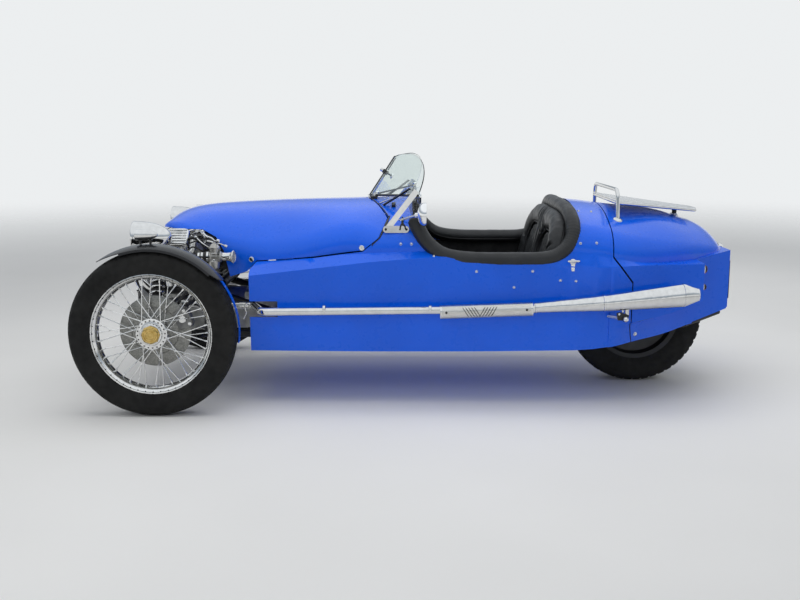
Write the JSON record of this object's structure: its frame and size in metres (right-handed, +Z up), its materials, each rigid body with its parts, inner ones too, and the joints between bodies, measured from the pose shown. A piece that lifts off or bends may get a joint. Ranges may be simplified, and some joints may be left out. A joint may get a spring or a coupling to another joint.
{
  "type": "open two-seat three-wheeled car",
  "caption": "Open two-seat three-wheeled sports car with an air-cooled vee twin in front, wire front wheels, black mudguards, a lift-off bonnet, an opening tail and side exhausts.",
  "frame": {"origin": "on the ground, midway along the car's length and on its centre plane", "axes": "+X towards the tail, so the car faces -X; +Y to the car's right; +Z up"},
  "size_m": [2.9, 1.424, 1.0767],
  "materials": {
    "body_paint": "gloss",
    "guard_paint": "gloss",
    "frame_paint": "satin",
    "chrome": "polished",
    "brushed_steel": "brushed",
    "engine_alloy": "cast",
    "carburettor_alloy": "cast",
    "disc_iron": "machined",
    "tyre": "matt",
    "leather": "satin",
    "glass": "clear",
    "lamp_red": "gloss",
    "plate_blank": "gloss",
    "mirror_chrome": "polished"
  },
  "bodies": {
    "chassis": {"body_tub": "body_paint", "carburettors": "carburettor_alloy", "chassis_frame": "frame_paint", "cockpit_roll": "leather", "cylinder_left": "engine_alloy", "cylinder_right": "engine_alloy", "dash_panel": "frame_paint", "door_mirrors": "mirror_chrome", "engine_block": "engine_alloy", "exhaust_left": "chrome", "exhaust_right": "chrome", "headlamps": "chrome", "heat_shields": "brushed_steel", "screen_frame": "chrome", "screen_pane_left": "glass", "screen_pane_right": "glass", "seat_backs": "leather", "seat_cushions": "leather", "steering_rack": "frame_paint", "suspension_left": "frame_paint", "suspension_right": "frame_paint", "swing_arm": "frame_paint"},
    "knuckle_l": {"knuckle_left": "frame_paint", "mudguard_left": "guard_paint", "splash_strip_left": "body_paint", "side_lamp_left": "chrome"},
    "knuckle_r": {"knuckle_right": "frame_paint", "mudguard_right": "guard_paint", "splash_strip_right": "body_paint", "side_lamp_right": "chrome"},
    "front_wheel_l": {"front_wheel_left": "chrome", "front_tyre_left": "tyre", "brake_disc_left": "disc_iron"},
    "front_wheel_r": {"front_wheel_right": "chrome", "front_tyre_right": "tyre", "brake_disc_right": "disc_iron"},
    "rear_wheel": {"rear_wheel": "frame_paint", "rear_tyre": "tyre"},
    "rack": {"rack_bar": "frame_paint"},
    "steering": {"steering_wheel": "leather"},
    "bonnet": {"bonnet": "body_paint"},
    "tail": {"tail_section": "body_paint", "luggage_rack": "chrome", "rear_lamps": "lamp_red", "number_plate": "plate_blank"}
  },
  "joints": [
    {"name": "steering_wheel_turn", "type": "hinge", "parent": "chassis", "child": "steering", "pos_m": [0.035, 0.21, 0.665], "axis": [0.922, 0, 0.3872], "range_deg": [-270, 270]},
    {"name": "kingpin_left", "type": "hinge", "parent": "chassis", "child": "knuckle_l", "pos_m": [-1.1, -0.57, 0.35], "axis": [0, 0, 1], "range_deg": [-25.5, 25.5]},
    {"name": "kingpin_right", "type": "hinge", "parent": "chassis", "child": "knuckle_r", "pos_m": [-1.1, 0.57, 0.35], "axis": [0, 0, 1], "range_deg": [-25.5, 25.5]},
    {"name": "rack_slide", "type": "slide", "parent": "chassis", "child": "rack", "axis": [0, 1, 0], "range_m": [-0.052, 0.052]},
    {"name": "front_wheel_left_spin", "type": "hinge", "parent": "knuckle_l", "child": "front_wheel_l", "pos_m": [-1.1, -0.65, 0.35], "axis": [0, 1, 0], "continuous": true},
    {"name": "front_wheel_right_spin", "type": "hinge", "parent": "knuckle_r", "child": "front_wheel_r", "pos_m": [-1.1, 0.65, 0.35], "axis": [0, 1, 0], "continuous": true},
    {"name": "rear_wheel_spin", "type": "hinge", "parent": "chassis", "child": "rear_wheel", "pos_m": [1.04, 0, 0.315], "axis": [0, 1, 0], "continuous": true},
    {"name": "bonnet_lift", "type": "slide", "parent": "chassis", "child": "bonnet", "axis": [0, 0, 1], "range_m": [0, 0.4]},
    {"name": "tail_hinge", "type": "hinge", "parent": "chassis", "child": "tail", "pos_m": [1.43, 0, 0.374], "axis": [0, 1, 0], "range_deg": [0, 60]}
  ],
  "couplings": [
    {"joint": "kingpin_left", "follows": "steering_wheel_turn", "ratio": 0.092593},
    {"joint": "kingpin_right", "follows": "steering_wheel_turn", "ratio": 0.092593},
    {"joint": "rack_slide", "follows": "steering_wheel_turn", "m_per_rad": 0.010761}
  ]
}
